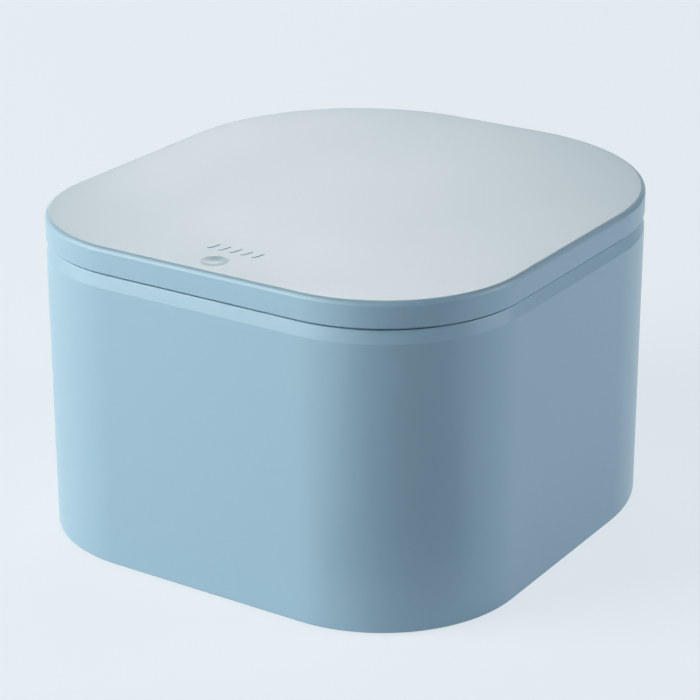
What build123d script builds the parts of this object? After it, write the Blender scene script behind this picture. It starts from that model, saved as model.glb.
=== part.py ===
from build123d import *
from math import cos, radians, sin
import os

# Push top countertop bin, in millimetres. +Z is up, the front face looks towards -Y, and the origin is
# the centre of the footprint on the surface that the bin stands on.
#
# The bucket stands on four pads. A rim frame drops into its mouth and rests on a ledge. The frame
# carries a steel hinge pin at the rear and a push-push latch at the front. The lid is a shell with a
# liner screwed under it, and the liner holds the hinge knuckles and the striker of the latch.

# ---- Plan: a rounded square, rounder at the rear corners ---------------------------------------------
bin_width = 150.0
bin_depth = 163.0
front_corner = 43.0
rear_corner = 60.0

# ---- Bucket --------------------------------------------------------------------------------------------
pad_proud = 0.6
wall_height = 84.8
band_height = 3.8
band_inset = 0.8
wall = 2.6
rim_wall = 1.8
floor_thickness = 2.6
floor_round = 6.0
base_round = 0.8
ledge_drop = 8.7

# ---- Pads under the base -------------------------------------------------------------------------------
pad_radius = 5.5
pad_recess = 0.8
pad_fit = 0.1
pad_from_side = 27.0
pad_from_end = 28.0

# ---- Lid shell -----------------------------------------------------------------------------------------
seam_gap = 0.55
lid_height = 7.7
lid_plate = 1.8
skirt_wall = 1.6
lid_top_round = 1.5
lid_bottom_round = 0.5
dimple_radius = 4.2
dimple_depth = 0.7
dimple_from_front = 8.2

# ---- Lid liner and the screws that hold it ---------------------------------------------------------------
liner_thickness = 1.4
liner_drop = 3.65
liner_side_gap = 0.5
liner_panel_depth = 0.5
liner_panel_margin = 14.0
boss_radius = 2.5
screw_radius = 1.1
screw_hole_gap = 0.15
screw_pilot_gap = 0.03
screw_bite = 0.2
screw_head_radius = 2.0
screw_head_height = 1.0
screw_length = 3.8
screw_slot_width = 0.5
screw_slot_depth = 0.5
liner_screw_from_front = 29.5
liner_screw_from_middle = 4.0
liner_screw_from_rear = 33.5
liner_screw_from_side = 20.0
liner_screw_rear_from_side = 30.0

# ---- Hinge ---------------------------------------------------------------------------------------------
hinge_from_rear = 5.0
hinge_above_seam = 1.7
pin_radius = 0.9
pin_chamfer = 0.25
pin_running_gap = 0.06
pin_seat_gap = 0.02
knuckle_radius = 2.1
knuckle_gap = 0.35
centre_lug_half = 3.0
lid_knuckle_start = 15.5
lid_knuckle_width = 4.6
outer_lug_width = 4.5
knuckle_root = 6.0
lug_foot_front = 7.6
lug_foot_rear = 3.6
notch_gap = 0.35
notch_half = 38.0
notch_corner = 1.2
liner_hinge_gap = 0.8

# ---- Torsion springs on the pin ------------------------------------------------------------------------
wire_flats = 6
torsion_wire = 0.4
torsion_mean_radius = 1.65
torsion_turns = 6
torsion_side_gap = 0.5
torsion_leg_angle = -64.0
torsion_lift_angle = 130.0
torsion_foot_gap = 0.25
torsion_lift_gap = 0.1
torsion_lift_length = 10.0
torsion_lift_bend = 3.3
torsion_bend_radius = 0.8

# ---- Rim frame -----------------------------------------------------------------------------------------
frame_gap = 0.2
frame_wall = 1.8
neck_wall = 1.6
deck_above_crease = 0.2
deck_thickness = 1.6
neck_below_liner = 1.4
neck_end_from_hinge = 12.0
mouth_inset = 12.0
mouth_wall = 1.6
mouth_drop = 9.6
bay_half_width = 16.0
bay_depth = 15.9
bay_corner = 2.0

# ---- Buffers between the frame and the lid ---------------------------------------------------------------
press_travel = 0.4
stop_clearance = 0.1
stop_radius = 2.8
stop_recess = 0.6
stop_past_corner = 4.0
stop_from_front = 7.0
stop_round = 0.6

# ---- Latch ---------------------------------------------------------------------------------------------
slider_out = 2.5
latch_gap = 0.3
latch_from_front = 7.3
housing_wall = 1.2
housing_front_wall = 1.0
housing_floor = 1.2
ear_thickness = 1.4
ear_half_length = 13.5
ear_screw_side = 10.5
latch_boss_drop = 5.0
cover_thickness = 1.8
slider_play = 0.15
slider_half_width = 6.0
slider_below_top = 0.2
prong_thickness = 2.2
pocket_depth = 3.6
web_thickness = 1.8
slider_block = 4.8
spring_space = 3.2
spring_socket = 2.6
latch_spring_wire = 0.25
latch_spring_radius = 1.75
latch_spring_turns = 5
socket_gap = 0.3

# ---- Striker and the clip that grips it ------------------------------------------------------------------
striker_flange = 1.4
striker_half_length = 11.2
striker_half_depth = 3.0
striker_screw_side = 8.6
blade_thickness = 2.4
neck_half = 0.9
head_half = 1.9
tip_half = 0.6
head_drop = 7.4
head_height = 1.8
shoulder_height = 1.0
clip_thickness = 0.4
clip_width = 3.0
clip_pinch = 1.2
clip_belly = 3.4
clip_foot = 1.5
clip_bend = 0.35
clip_top_gap = 0.4

# ---- Heart cam and follower -----------------------------------------------------------------------------
follower_wire = 0.35
follower_play = 0.1
track_depth = 0.9
heart_half = 1.1
heart_lobe_half = 0.8
heart_lobe_rise = 0.1
heart_notch = 0.6
heart_shoulder = 0.15
heart_cheek = 1.1
heart_cheek_half = 0.85
heart_drop = 2.0
follower_above_floor = 1.5

# ---- Levels and places worked out from the sizes above ---------------------------------------------------
rear_y = bin_depth / 2
front_y = -bin_depth / 2
base_z = pad_proud
crease_z = base_z + wall_height
rim_z = crease_z + band_height
ledge_z = rim_z - ledge_drop
seam_z = rim_z + seam_gap
lid_top_z = seam_z + lid_height
plate_under_z = lid_top_z - lid_plate
liner_top_z = plate_under_z - (liner_drop - liner_thickness)
liner_z = plate_under_z - liner_drop
hinge_y = rear_y - hinge_from_rear
hinge_z = seam_z + hinge_above_seam
deck_z = crease_z + deck_above_crease
neck_z = liner_z - neck_below_liner
mouth_bottom_z = deck_z - mouth_drop
frame_inset = rim_wall + frame_gap
liner_inset = skirt_wall + liner_side_gap
lid_knuckle_end = lid_knuckle_start + lid_knuckle_width
outer_lug_start = lid_knuckle_end + knuckle_gap
outer_lug_end = outer_lug_start + outer_lug_width
skirt_sweep = (hinge_from_rear**2 + hinge_above_seam**2) ** 0.5
notch_z = hinge_z - skirt_sweep - notch_gap

latch_y = front_y + latch_from_front
housing_top_z = deck_z + ear_thickness
slider_top_z = housing_top_z - slider_below_top
striker_under_z = liner_z - striker_flange
striker_tip_z = striker_under_z - head_drop - head_height
pocket_floor_z = striker_tip_z - slider_out - press_travel - latch_gap
slider_bottom_z = pocket_floor_z - slider_block
cavity_floor_z = slider_bottom_z - spring_space
housing_bottom_z = cavity_floor_z - housing_floor
slider_front = -pocket_depth / 2
web_front = pocket_depth / 2
web_rear = web_front + web_thickness
cavity_front = slider_front - slider_play
cover_face = web_rear + slider_play
housing_rear = cover_face + cover_thickness
housing_front = cavity_front - housing_front_wall
cavity_half = slider_half_width + slider_play
housing_half = cavity_half + housing_wall
follower_tip_z = (pocket_floor_z + slider_bottom_z) / 2 + slider_out
follower_pivot_z = cavity_floor_z + follower_above_floor


# ---- Shared shapes --------------------------------------------------------------------------------------
def plan(inset=0.0):
    """The bin's outline as a face, drawn in by inset all round."""
    half = bin_width / 2 - inset
    front = front_y + inset
    rear = rear_y - inset
    front_radius = front_corner - inset
    rear_radius = rear_corner - inset
    front_x = half - front_radius
    rear_x = half - rear_radius
    with BuildSketch() as outline:
        with BuildLine():
            Line((-front_x, front), (front_x, front))
            CenterArc((front_x, front + front_radius), front_radius, -90, 90)
            Line((half, front + front_radius), (half, rear - rear_radius))
            CenterArc((rear_x, rear - rear_radius), rear_radius, 0, 90)
            Line((rear_x, rear), (-rear_x, rear))
            CenterArc((-rear_x, rear - rear_radius), rear_radius, 90, 90)
            Line((-half, rear - rear_radius), (-half, front + front_radius))
            CenterArc((-front_x, front + front_radius), front_radius, 180, 90)
        make_face()
    return outline.sketch


def slab(shape, low, high):
    """A flat face, drawn at z 0, made solid between two heights."""
    return Pos(0, 0, low) * extrude(shape, amount=high - low)


def box(x, y, z):
    """A box from its low and high limits along each axis."""
    size = (x[1] - x[0], y[1] - y[0], z[1] - z[0])
    middle = ((x[0] + x[1]) / 2, (y[0] + y[1]) / 2, (z[0] + z[1]) / 2)
    return Pos(*middle) * Box(*size)


def post(radius, x, y, low, high):
    """An upright cylinder between two heights."""
    return Pos(x, y, (low + high) / 2) * Cylinder(radius, high - low)


def along_x(profile, start, end, y, z):
    """A profile drawn as (depth, height) about the line at y, z, made solid from start to end in x."""
    stand = Plane(origin=(start, y, z), x_dir=(0, 1, 0), z_dir=(1, 0, 0))
    return extrude(stand * profile, amount=end - start)


def along_y(profile, start, end, z=0.0):
    """A profile drawn as (width, height), made solid from start to end in y."""
    stand = Plane(origin=(0, start, z), x_dir=(1, 0, 0), z_dir=(0, -1, 0))
    return extrude(stand * profile, amount=start - end)


def bent_rod(points, radius, bend):
    """A wire through points, with every corner bent to one radius. Wires have flats, so faces stay few."""
    path = Polyline(*points) if len(points) == 2 else FilletPolyline(*points, radius=bend)
    section = Plane(origin=path @ 0, z_dir=path % 0) * RegularPolygon(radius, wire_flats)
    return sweep(section, path=path)


def coil(radius, wire, length, turns):
    """A wire wound up the Z axis from z 0, starting on the X axis."""
    path = Helix(pitch=length / turns, height=length, radius=radius)
    section = Plane(origin=path @ 0, z_dir=path % 0) * RegularPolygon(wire, wire_flats)
    return sweep(section, path=path, is_frenet=True)


def screw(x, y, seat_z):
    """A pan head screw driven upwards, its head's flat face at seat_z."""
    head = post(screw_head_radius, x, y, seat_z - screw_head_height, seat_z)
    head = chamfer(head.edges().sort_by(Axis.Z)[0], screw_head_height * 0.4)
    slot_low = seat_z - screw_head_height
    slot = box(
        (x - screw_head_radius, x + screw_head_radius),
        (y - screw_slot_width / 2, y + screw_slot_width / 2),
        (slot_low - 1, slot_low + screw_slot_depth),
    )
    shank = post(screw_radius, x, y, seat_z, seat_z + screw_length)
    shank = chamfer(shank.edges().sort_by(Axis.Z)[-1], screw_radius / 2)
    return head - slot + shank


def both_sides(points):
    """Each point and its mirror image across the middle plane."""
    return [(side * x, y) for x, y in points for side in (-1, 1)]


pad_places = both_sides(
    [
        (bin_width / 2 - pad_from_side, front_y + pad_from_end),
        (bin_width / 2 - pad_from_side, rear_y - pad_from_end),
    ]
)
liner_screw_places = both_sides(
    [
        (bin_width / 2 - liner_screw_from_side, front_y + liner_screw_from_front),
        (bin_width / 2 - liner_screw_from_side, -liner_screw_from_middle),
        (bin_width / 2 - liner_screw_rear_from_side, rear_y - liner_screw_from_rear),
    ]
)
striker_screw_places = both_sides([(striker_screw_side, latch_y)])
latch_screw_y = latch_y + (housing_front + housing_rear) / 2
latch_screw_places = both_sides([(ear_screw_side, latch_screw_y)])
stop_places = both_sides([(bin_width / 2 - front_corner + stop_past_corner, front_y + stop_from_front)])
screw_hole = screw_radius + screw_hole_gap
pilot_hole = screw_radius + screw_pilot_gap


# ---- Bucket ----------------------------------------------------------------------------------------------
def make_bin_body():
    """The bucket: straight walls, a band that leans in under the lid, a ledge inside and a hinge notch."""
    wall_part = slab(plan(), base_z, crease_z)
    wall_part = fillet(wall_part.faces().sort_by(Axis.Z)[0].edges(), base_round)
    band = loft([Pos(0, 0, crease_z) * plan(), Pos(0, 0, rim_z) * plan(band_inset)], ruled=True)
    hollow = slab(plan(wall), base_z + floor_thickness, ledge_z)
    hollow = fillet(hollow.faces().sort_by(Axis.Z)[0].edges(), floor_round)
    rebate = slab(plan(rim_wall), ledge_z, rim_z + 1)
    with BuildSketch() as notch_shape:
        with Locations((0, (notch_z + rim_z + 4) / 2)):
            RectangleRounded(2 * notch_half, rim_z + 4 - notch_z, notch_corner)
    notch = along_y(notch_shape.sketch, rear_y - 3 * wall, rear_y + 1)
    body = wall_part + band - hollow - rebate - notch
    for x, y in pad_places:
        body -= post(pad_radius + pad_fit, x, y, base_z - 1, base_z + pad_recess)
    return body


def make_base_pads():
    """Four rubber pads, seated in the base's recesses."""
    pads = []
    for x, y in pad_places:
        pad = post(pad_radius, x, y, 0, base_z + pad_recess)
        pads.append(chamfer(pad.edges().sort_by(Axis.Z)[0], pad_proud / 2))
    return pads


# ---- Rim frame -------------------------------------------------------------------------------------------
def mouth_shape():
    """The opening that things are dropped through, drawn in round the latch at the front."""
    bay_rear = front_y + bay_depth
    opening = plan(mouth_inset)
    bay_front = front_y + mouth_inset - 1
    with BuildSketch() as bay:
        with Locations((0, (bay_front + bay_rear) / 2)):
            Rectangle(2 * bay_half_width, bay_rear - bay_front)
    opening -= bay.sketch
    inner = [v for v in opening.vertices() if abs(v.Y - bay_rear) < 0.01]
    opening = fillet(inner, bay_corner)
    outer = [v for v in opening.vertices() if abs(v.Y - front_y - mouth_inset) < 0.01]
    return fillet([v for v in outer if abs(abs(v.X) - bay_half_width) < 0.01], mouth_wall)


def hinge_lug(start, end):
    """A frame lug: a barrel round the pin on a stem that leans forward to the deck."""
    foot = deck_z - deck_thickness / 2 - hinge_z
    with BuildSketch() as lug:
        Circle(knuckle_radius)
        with BuildLine():
            Polyline(
                (-knuckle_radius, 0),
                (-lug_foot_front, foot),
                (-lug_foot_rear, foot),
                (-knuckle_radius * sin(radians(42)), -knuckle_radius * cos(radians(42))),
                close=True,
            )
        make_face()
        Circle(pin_radius + pin_seat_gap, mode=Mode.SUBTRACT)
    return along_x(lug.sketch, start, end, hinge_y, hinge_z)


def make_rim_frame():
    """The frame: outer wall on the ledge, deck, neck inside the lid's skirt, mouth wall, lugs and bay."""
    outer = plan(frame_inset)
    mouth = mouth_shape()
    outer_wall = slab(outer - plan(frame_inset + frame_wall), ledge_z, deck_z)
    deck = slab(outer - mouth, deck_z - deck_thickness, deck_z)
    neck = slab(outer - plan(frame_inset + neck_wall), deck_z, neck_z)
    neck -= box(
        (-bin_width, bin_width),
        (hinge_y - neck_end_from_hinge, rear_y),
        (deck_z, neck_z + 1),
    )
    mouth_ring = offset(mouth, mouth_wall) - mouth
    mouth_wall_part = slab(mouth_ring, mouth_bottom_z, deck_z)
    frame = outer_wall + deck + neck + mouth_wall_part
    frame += hinge_lug(-centre_lug_half, centre_lug_half)
    frame += hinge_lug(outer_lug_start, outer_lug_end)
    frame += hinge_lug(-outer_lug_end, -outer_lug_start)
    for x, y in latch_screw_places:
        frame += post(boss_radius, x, y, deck_z - latch_boss_drop, deck_z - deck_thickness / 2)
    window = box(
        (-housing_half - latch_gap, housing_half + latch_gap),
        (latch_y + housing_front - latch_gap, latch_y + housing_rear + latch_gap),
        (deck_z - latch_boss_drop - 1, deck_z + 1),
    )
    frame -= window
    for x, y in latch_screw_places:
        frame -= post(pilot_hole, x, y, deck_z - latch_boss_drop - 1, deck_z + 1)
    for x, y in stop_places:
        frame -= post(stop_radius + pad_fit, x, y, deck_z - stop_recess, deck_z + 1)
    return frame


def make_lid_stops():
    """Two soft buffers that stand in the deck and meet the liner at the end of a press."""
    stops = []
    top = liner_z - press_travel - stop_clearance
    for x, y in stop_places:
        stop = post(stop_radius, x, y, deck_z - stop_recess, top)
        stops.append(chamfer(stop.edges().sort_by(Axis.Z)[-1], stop_round))
    return stops


# ---- Lid -------------------------------------------------------------------------------------------------
def make_lid_shell():
    """The lid's outside: a plate with a skirt, the finger dimple, and bosses for the liner's screws."""
    shell = slab(plan(), seam_z, lid_top_z)
    shell = fillet(shell.faces().sort_by(Axis.Z)[-1].edges(), lid_top_round)
    shell = fillet(shell.faces().sort_by(Axis.Z)[0].edges(), lid_bottom_round)
    shell -= slab(plan(skirt_wall), seam_z - 1, plate_under_z)
    for x, y in liner_screw_places:
        shell += post(boss_radius, x, y, liner_top_z, plate_under_z + lid_plate / 2)
        shell -= post(pilot_hole, x, y, liner_top_z - 1, plate_under_z + lid_plate / 2)
    ball_radius = (dimple_radius**2 + dimple_depth**2) / (2 * dimple_depth)
    ball_z = lid_top_z + ball_radius - dimple_depth
    return shell - Pos(0, front_y + dimple_from_front, ball_z) * Sphere(ball_radius)


def lid_knuckle(start, end):
    """A knuckle of the lid: a barrel round the pin with a root along the liner."""
    plate_low = liner_z - hinge_z
    plate_high = liner_top_z - hinge_z
    with BuildSketch() as knuckle:
        Circle(knuckle_radius)
        with BuildLine():
            Polyline(
                (-knuckle_radius, 0),
                (-knuckle_root, plate_low),
                (-knuckle_root, plate_high),
                (0, plate_high),
                (0, 0),
                close=True,
            )
        make_face()
        Circle(pin_radius + pin_running_gap, mode=Mode.SUBTRACT)
    return along_x(knuckle.sketch, start, end, hinge_y, hinge_z)


def make_lid_liner():
    """The lid's inside: a panel under the shell with two knuckles and two bosses for the striker."""
    panel = slab(plan(liner_inset), liner_z, liner_top_z)
    panel -= slab(plan(liner_panel_margin), liner_z - 1, liner_z + liner_panel_depth)
    reach = knuckle_radius + liner_hinge_gap
    panel -= box(
        (-outer_lug_end - knuckle_root / 4, outer_lug_end + knuckle_root / 4),
        (hinge_y - reach, rear_y),
        (liner_z - 1, liner_top_z + 1),
    )
    panel += lid_knuckle(lid_knuckle_start, lid_knuckle_end)
    panel += lid_knuckle(-lid_knuckle_end, -lid_knuckle_start)
    for x, y in striker_screw_places:
        panel += post(boss_radius, x, y, liner_z + liner_thickness / 2, plate_under_z - screw_bite)
        panel -= post(pilot_hole, x, y, liner_z - 1, plate_under_z)
    for x, y in liner_screw_places:
        panel -= post(screw_hole, x, y, liner_z - 1, liner_top_z + 1)
    return panel


def make_liner_screws():
    """Six screws from below, through the liner into the shell's bosses."""
    return [screw(x, y, liner_z + liner_panel_depth) for x, y in liner_screw_places]


# ---- Hinge -----------------------------------------------------------------------------------------------
def make_hinge_pin():
    """The steel pin, as long as the hinge."""
    pin = Pos(0, hinge_y, hinge_z) * Rot(0, 90, 0) * Cylinder(pin_radius, 2 * outer_lug_end)
    return chamfer(pin.edges().filter_by(GeomType.CIRCLE), pin_chamfer)


def make_hinge_spring():
    """The right torsion spring: one leg stands on the deck, the other lifts the liner."""
    start = centre_lug_half + torsion_side_gap + torsion_wire
    end = lid_knuckle_start - torsion_side_gap - torsion_wire
    sweep_angle = torsion_lift_angle - torsion_leg_angle
    turns = torsion_turns + sweep_angle / 360
    leg = radians(torsion_leg_angle)
    lift = radians(torsion_lift_angle)
    stand = Plane(
        origin=(start, hinge_y, hinge_z),
        x_dir=(0, cos(leg), sin(leg)),
        z_dir=(1, 0, 0),
    )
    spring = stand * coil(torsion_mean_radius, torsion_wire, end - start, turns)

    # Each leg leaves along the coil's tangent and starts one wire radius inside the coil's end.
    # The fixed leg comes straight down to just above the deck.
    leg_y = torsion_mean_radius * cos(leg)
    leg_z = torsion_mean_radius * sin(leg)
    foot_z = deck_z - hinge_z + torsion_wire + torsion_foot_gap
    leg_length = (leg_z - foot_z) / cos(leg)
    spring += bent_rod(
        [
            (start, hinge_y + leg_y + along * sin(leg), hinge_z + leg_z - along * cos(leg))
            for along in (-torsion_wire, leg_length)
        ],
        torsion_wire,
        torsion_bend_radius,
    )

    # The lifting leg bends level under the liner.
    lift_y = torsion_mean_radius * cos(lift)
    lift_z = torsion_mean_radius * sin(lift)
    root_y = lift_y + torsion_wire * sin(lift)
    root_z = lift_z - torsion_wire * cos(lift)
    bend_z = lift_z + (torsion_lift_bend + lift_y) * cos(lift) / sin(lift)
    touch_z = liner_z - hinge_z - torsion_wire - torsion_lift_gap
    lift_points = [
        (root_y, root_z),
        (-torsion_lift_bend, bend_z),
        (-torsion_lift_length, touch_z),
    ]
    spring += bent_rod(
        [(end, hinge_y + y, hinge_z + z) for y, z in lift_points],
        torsion_wire,
        torsion_bend_radius,
    )
    return spring


# ---- Latch -----------------------------------------------------------------------------------------------
def make_latch_housing():
    """The latch's case, open at the top and at the rear, with two screw ears that lie on the deck."""
    case = box(
        (-housing_half, housing_half),
        (latch_y + housing_front, latch_y + cover_face),
        (housing_bottom_z, housing_top_z),
    )
    with BuildSketch() as ears:
        with Locations((0, latch_screw_y)):
            RectangleRounded(2 * ear_half_length, housing_rear - housing_front, housing_wall)
    case += slab(ears.sketch, deck_z, housing_top_z)
    case -= box(
        (-cavity_half, cavity_half),
        (latch_y + cavity_front, latch_y + cover_face + 1),
        (cavity_floor_z, housing_top_z + 1),
    )
    case -= box(
        (-housing_half, housing_half),
        (latch_y + cover_face, latch_y + housing_rear + 1),
        (deck_z - 1, housing_top_z + 1),
    )
    for x, y in latch_screw_places:
        case -= post(screw_hole, x, y, deck_z - 1, housing_top_z + 1)
    return case


def make_latch_cover():
    """The back plate: a channel for the follower's arm and a hole for its bent end."""
    plate = box(
        (-housing_half, housing_half),
        (latch_y + cover_face, latch_y + housing_rear),
        (housing_bottom_z, housing_top_z),
    )
    channel_half = follower_wire + heart_half
    channel_depth = 2 * follower_wire + 2 * follower_play
    plate -= box(
        (-channel_half, channel_half),
        (latch_y + cover_face - 1, latch_y + cover_face + channel_depth),
        (follower_pivot_z - channel_half, follower_tip_z + channel_half),
    )
    hole = Pos(0, latch_y + housing_rear, follower_pivot_z) * Rot(90, 0, 0)
    return plate - hole * Cylinder(follower_wire + follower_play, 2 * cover_thickness)


def heart():
    """The island of the cam, as (width, height) from the notch that holds the follower's tip."""
    half = [
        (heart_lobe_half, heart_lobe_rise),
        (heart_half, -heart_shoulder),
        (heart_cheek_half, -heart_cheek),
    ]
    left = [(-x, z) for x, z in reversed(half)]
    return make_face(Polyline((0, -heart_notch), *half, (0, -heart_drop), *left, close=True))


def make_latch_slider():
    """The fork: two prongs and a web over a block, with the heart cam behind and a spring socket below."""
    slider = box(
        (-slider_half_width, slider_half_width),
        (latch_y + slider_front, latch_y + web_rear),
        (slider_bottom_z, slider_top_z),
    )
    pocket_half = slider_half_width - prong_thickness
    slider -= box(
        (-pocket_half, pocket_half),
        (latch_y + slider_front - 1, latch_y + web_front),
        (pocket_floor_z, slider_top_z + 1),
    )
    socket_y = latch_y + (slider_front + web_rear) / 2
    socket_radius = latch_spring_radius + latch_spring_wire + socket_gap
    slider -= post(socket_radius, 0, socket_y, slider_bottom_z - 1, slider_bottom_z + spring_socket)
    track_width = 2 * (follower_wire + follower_play)
    island = heart()
    outer = make_hull(island.edges())
    track = offset(outer, track_width) - island
    entry_low = follower_tip_z - slider_out - track_width / 2
    entry = Pos(0, (entry_low - follower_tip_z) / 2) * Rectangle(track_width, follower_tip_z - entry_low)
    track = track + (entry - offset(outer, track_width / 2))
    groove = along_y(track, latch_y + web_rear - track_depth, latch_y + web_rear + 1, follower_tip_z)
    return slider - groove


def make_latch_clip():
    """The grip: a bent steel strip whose arms pinch the striker's neck and whose middle takes its tip."""
    top = slider_top_z - clip_top_gap
    pinch = striker_tip_z + head_height + shoulder_height
    low = pocket_floor_z + clip_thickness / 2
    saddle = striker_tip_z - clip_thickness
    half = [
        (clip_foot, saddle),
        (clip_foot + clip_thickness, low),
        (clip_belly, low),
        (clip_belly, striker_tip_z + head_height / 2),
        (clip_pinch, pinch + clip_thickness),
        (clip_belly - clip_thickness, top),
    ]
    points = [(-x, z) for x, z in reversed(half)] + half
    path = FilletPolyline(*points, radius=clip_bend)
    strip = trace(path, line_width=clip_thickness)
    return along_y(strip, latch_y - clip_width / 2, latch_y + clip_width / 2)


def make_latch_spring():
    """The compression spring between the case's floor and the slider's socket."""
    socket_y = latch_y + (slider_front + web_rear) / 2
    length = slider_bottom_z + spring_socket - cavity_floor_z - 2 * latch_spring_wire
    spring = coil(latch_spring_radius, latch_spring_wire, length, latch_spring_turns)
    return Pos(0, socket_y, cavity_floor_z + latch_spring_wire) * spring


def make_latch_follower():
    """The follower: one end through the cover's hole, the tip bent forward into the cam."""
    arm_y = latch_y + cover_face + follower_wire + follower_play
    tip_y = latch_y + web_rear - track_depth + follower_play
    points = [
        (0, latch_y + housing_rear, follower_pivot_z),
        (0, arm_y, follower_pivot_z),
        (0, arm_y, follower_tip_z),
        (0, tip_y, follower_tip_z),
    ]
    return bent_rod(points, follower_wire, follower_wire * 1.2)


def make_latch_screws():
    """Two screws down through the ears into the frame's bosses."""
    screws = []
    for x, y in latch_screw_places:
        screws.append(Pos(0, 0, housing_top_z) * Rot(180, 0, 0) * screw(x, -y, 0))
    return screws


def make_striker():
    """The striker: a flange under the liner and a blade with a barbed head."""
    flange = box(
        (-striker_half_length, striker_half_length),
        (latch_y - striker_half_depth, latch_y + striker_half_depth),
        (striker_under_z, liner_z),
    )
    flange = fillet(flange.edges().filter_by(Axis.Z), striker_half_depth / 2)
    neck_end = striker_tip_z + head_height + shoulder_height
    half = [
        (neck_half, striker_under_z + striker_flange / 2),
        (neck_half, neck_end),
        (head_half, striker_tip_z + head_height),
        (tip_half, striker_tip_z),
    ]
    outline = half + [(-x, z) for x, z in reversed(half)]
    blade = make_face(Polyline(*outline, close=True))
    blade = along_y(blade, latch_y - blade_thickness / 2, latch_y + blade_thickness / 2)
    striker = flange + blade
    for x, y in striker_screw_places:
        striker -= post(screw_hole, x, y, striker_under_z - 1, liner_z + 1)
    return striker


def make_striker_screws():
    """Two screws from below, through the striker into the liner's bosses."""
    return [screw(x, y, striker_under_z) for x, y in striker_screw_places]


# ---- Write every piece -----------------------------------------------------------------------------------
spring_right = make_hinge_spring()
pieces = {
    "bin_body": make_bin_body(),
    "base_pads": make_base_pads(),
    "rim_frame": make_rim_frame(),
    "lid_stops": make_lid_stops(),
    "lid_shell": make_lid_shell(),
    "lid_liner": make_lid_liner(),
    "liner_screws": make_liner_screws(),
    "hinge_pin": make_hinge_pin(),
    "hinge_spring_right": spring_right,
    "hinge_spring_left": mirror(spring_right, about=Plane.YZ),
    "latch_housing": make_latch_housing(),
    "latch_cover": make_latch_cover(),
    "latch_slider": make_latch_slider(),
    "latch_clip": make_latch_clip(),
    "latch_spring": make_latch_spring(),
    "latch_follower": make_latch_follower(),
    "latch_screws": make_latch_screws(),
    "striker": make_striker(),
    "striker_screws": make_striker_screws(),
}

os.makedirs("parts", exist_ok=True)
for name, piece in pieces.items():
    solid = Compound(children=list(piece)) if isinstance(piece, list) else piece
    export_step(solid, f"parts/{name}.step")
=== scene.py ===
import math

import bmesh
import bpy
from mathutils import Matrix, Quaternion, Vector
from mathutils.kdtree import KDTree


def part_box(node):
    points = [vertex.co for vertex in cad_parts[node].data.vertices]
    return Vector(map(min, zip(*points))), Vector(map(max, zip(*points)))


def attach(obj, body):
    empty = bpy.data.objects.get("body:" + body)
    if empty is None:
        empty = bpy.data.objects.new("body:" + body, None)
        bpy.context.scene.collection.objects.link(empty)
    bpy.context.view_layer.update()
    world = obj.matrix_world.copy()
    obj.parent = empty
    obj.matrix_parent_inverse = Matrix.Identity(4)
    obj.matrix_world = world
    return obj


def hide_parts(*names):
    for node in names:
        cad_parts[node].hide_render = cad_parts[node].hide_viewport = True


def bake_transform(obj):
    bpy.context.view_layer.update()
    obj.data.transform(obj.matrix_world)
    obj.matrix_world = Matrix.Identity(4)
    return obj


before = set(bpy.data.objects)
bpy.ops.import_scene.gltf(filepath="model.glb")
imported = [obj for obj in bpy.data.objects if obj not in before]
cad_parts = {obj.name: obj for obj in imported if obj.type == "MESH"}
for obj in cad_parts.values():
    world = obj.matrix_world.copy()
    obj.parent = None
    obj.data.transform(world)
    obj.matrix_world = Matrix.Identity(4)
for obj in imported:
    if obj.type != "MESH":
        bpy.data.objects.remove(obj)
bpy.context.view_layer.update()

# Push top countertop bin. Sizes and places are in millimetres, and MM turns them into metres where a
# mesh, a curve or a material takes them. Camera and lamps are placed in metres. +Z is up, the front
# looks towards -Y, and a name that ends in _Z is a level above the surface that the bin stands on.
MM = 0.001

# ---- Sizes of the bin, the same as in its solids -----------------------------------------------------
WIDTH, DEPTH = 150.0, 163.0
FRONT_CORNER, REAR_CORNER = 43.0, 60.0

WALL_HEIGHT, BAND_HEIGHT, BAND_INSET = 84.8, 3.8, 0.8
WALL, RIM_WALL, FLOOR = 2.6, 1.8, 2.6
FLOOR_ROUND, BASE_ROUND, CREASE_ROUND, RIM_ROUND = 6.0, 0.8, 0.6, 0.3
LEDGE_DROP, LEDGE_EASE = 8.7, 0.2
BASE_Z = 0.6
CREASE_Z = BASE_Z + WALL_HEIGHT
RIM_Z = CREASE_Z + BAND_HEIGHT
LEDGE_Z = RIM_Z - LEDGE_DROP
# Flat stretches of the profile: the inset of the underside's cap, and the runs beside the two rounds.
BASE_CAP_INSET, BASE_RUN, FLOOR_RUN = 14.0, 0.5, 6.0

PAD_PLACES = [(48.0, -53.5), (48.0, 53.5), (-48.0, -53.5), (-48.0, 53.5)]
PAD_RADIUS, PAD_RECESS, PAD_FIT = 5.5, 0.8, 0.1
NOTCH_HALF, NOTCH_Z, NOTCH_ROUND = 38.0, 85.82, 1.2
NOTCH_ABOVE_RIM, NOTCH_NEAR_Y, NOTCH_FAR_Y = 3.0, 73.5, 90.0

SEAM_GAP, LID_HEIGHT = 0.55, 7.7
LID_PLATE, SKIRT, LINER_SPACE = 1.8, 1.6, 2.25
LID_TOP_ROUND, LID_LOW_ROUND = 1.5, 0.5
SKIRT_EASE, PLATE_EASE = 0.2, 0.3
SEAM_Z = RIM_Z + SEAM_GAP
LID_TOP_Z = SEAM_Z + LID_HEIGHT
PLATE_Z = LID_TOP_Z - LID_PLATE
LINER_TOP_Z = PLATE_Z - LINER_SPACE

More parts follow.
